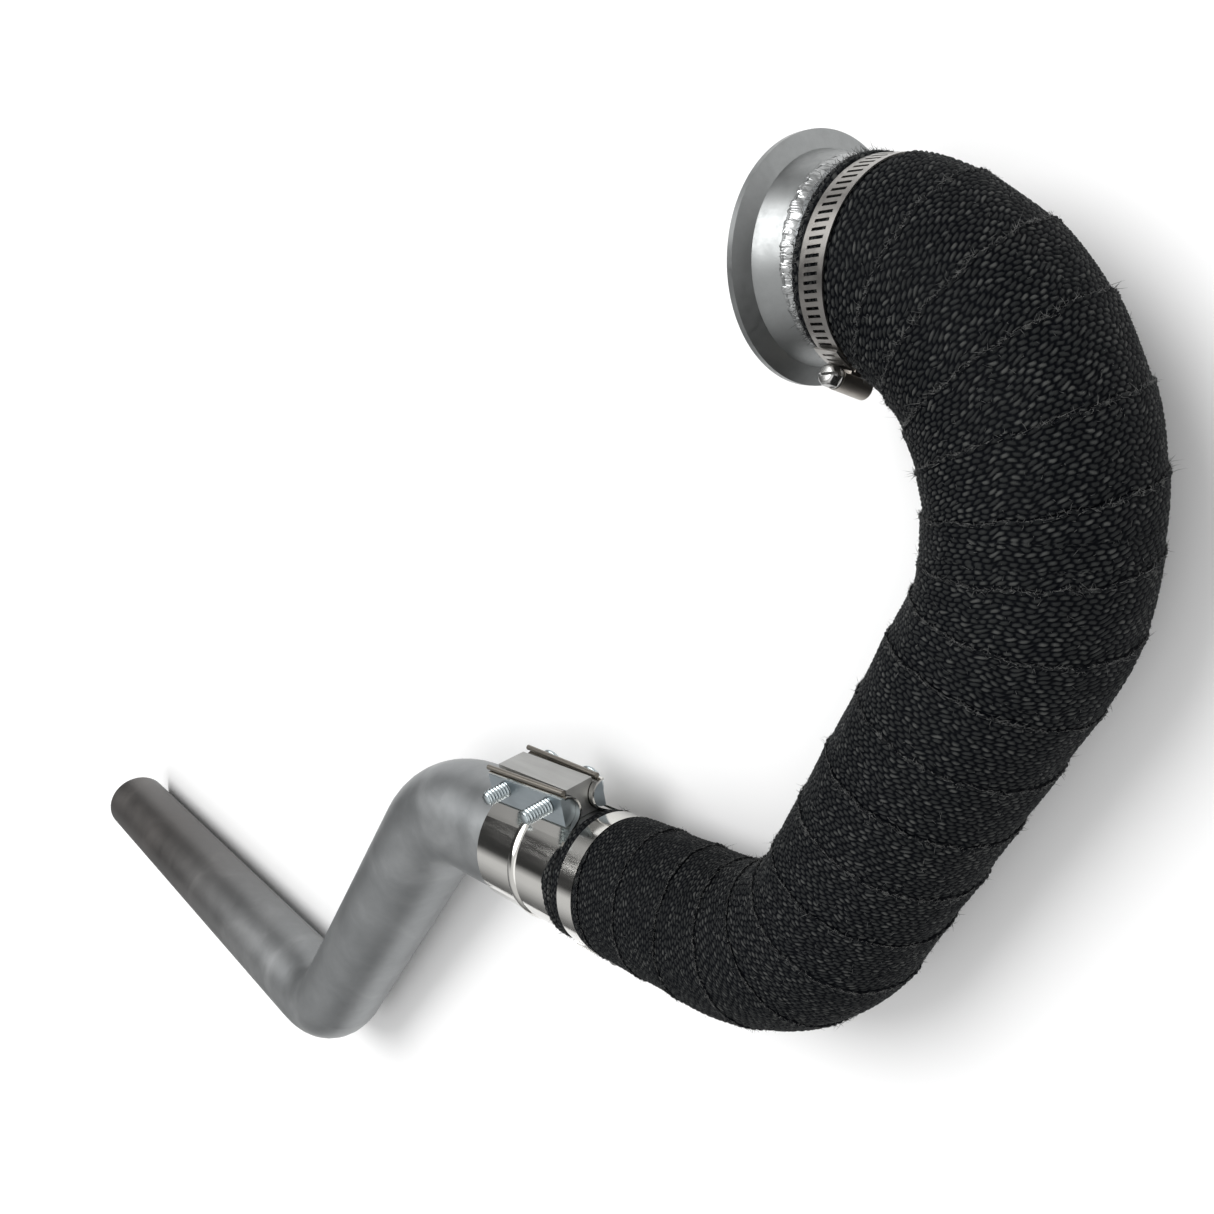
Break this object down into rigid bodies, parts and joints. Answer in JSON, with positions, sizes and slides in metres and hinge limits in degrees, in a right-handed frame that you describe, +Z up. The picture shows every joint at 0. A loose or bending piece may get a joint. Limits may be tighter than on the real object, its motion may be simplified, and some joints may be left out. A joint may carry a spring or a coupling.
{
  "type": "exhaust downpipe",
  "caption": "Bent steel exhaust downpipe bound in woven heat tape, with a V-band inlet flange and a bare tail pipe held in a bolted strap clamp.",
  "frame": {"origin": "centre of the inlet flange's sealing face, on the flange's axis", "axes": "+X along the butt joint towards the tail pipe, +Z up with the pipe lying flat, +Y across the bends"},
  "size_m": [1.4062, 0.704, 0.102],
  "materials": {
    "machined_steel": "satin, machined",
    "weld_metal": "bright rippled weld",
    "aluminised_tube": "matte aluminised, cloudy at the bends",
    "woven_wrap": "coarse woven charcoal tape with frayed edges",
    "stainless_band": "satin stainless",
    "clamp_housing": "stamped stainless, warm tint",
    "clamp_screw": "bright plated",
    "polished_band": "mirror-like stainless",
    "polished_strap": "polished stainless sheet",
    "zinc_block": "zinc plated",
    "zinc_bar": "bluish zinc plate",
    "plain_rod": "plain drawn rod",
    "zinc_bolt": "bright zinc"
  },
  "bodies": {
    "downpipe": {"inlet_flange": "machined_steel", "flange_weld_bead": "weld_metal", "downpipe_tube": "aluminised_tube", "heat_wrap": "woven_wrap", "upper_clamp_band": "stainless_band", "upper_clamp_saddle": "stainless_band", "upper_clamp_housing": "clamp_housing", "lower_clamp_band": "polished_band", "lower_clamp_saddle": "stainless_band", "lower_clamp_housing": "clamp_housing"},
    "upper_screw": {"upper_clamp_screw": "clamp_screw"},
    "lower_screw": {"lower_clamp_screw": "clamp_screw"},
    "joint_clamp": {"joint_strap": "polished_strap", "joint_reaction_block": "zinc_block", "joint_front_bar": "zinc_bar", "joint_rear_bar": "zinc_bar", "front_strap_rod": "plain_rod", "rear_strap_rod": "plain_rod"},
    "near_bolt": {"joint_bolt_near": "zinc_bolt"},
    "far_bolt": {"joint_bolt_far": "zinc_bolt"},
    "tail": {"tail_pipe": "aluminised_tube"}
  },
  "joints": [
    {"name": "upper_screw_turn", "type": "hinge", "parent": "downpipe", "child": "upper_screw", "pos_m": [-0.02783, 0.05142, 0.0137], "axis": [-0.0702, 0.2588, -0.9634], "continuous": true},
    {"name": "lower_screw_turn", "type": "hinge", "parent": "downpipe", "child": "lower_screw", "pos_m": [0.15455, 0.3775, -0.01477], "axis": [0.0228, -0.1736, -0.9845], "continuous": true},
    {"name": "clamp_swivel", "type": "hinge", "parent": "downpipe", "child": "joint_clamp", "pos_m": [0.20715, 0.33205, -0.00554], "axis": [0.9997, 0, 0.0232], "continuous": true},
    {"name": "near_bolt_turn", "type": "hinge", "parent": "joint_clamp", "child": "near_bolt", "pos_m": [0.186, 0.28335, 0.00283], "axis": [-0.0228, 0.1788, 0.9836], "continuous": true},
    {"name": "far_bolt_turn", "type": "hinge", "parent": "joint_clamp", "child": "far_bolt", "pos_m": [0.22749, 0.28335, 0.00379], "axis": [-0.0228, 0.1788, 0.9836], "continuous": true},
    {"name": "tail_pull", "type": "slide", "parent": "joint_clamp", "child": "tail", "axis": [0.9997, 0, 0.0232], "range_m": [0, 0.0365]}
  ]
}
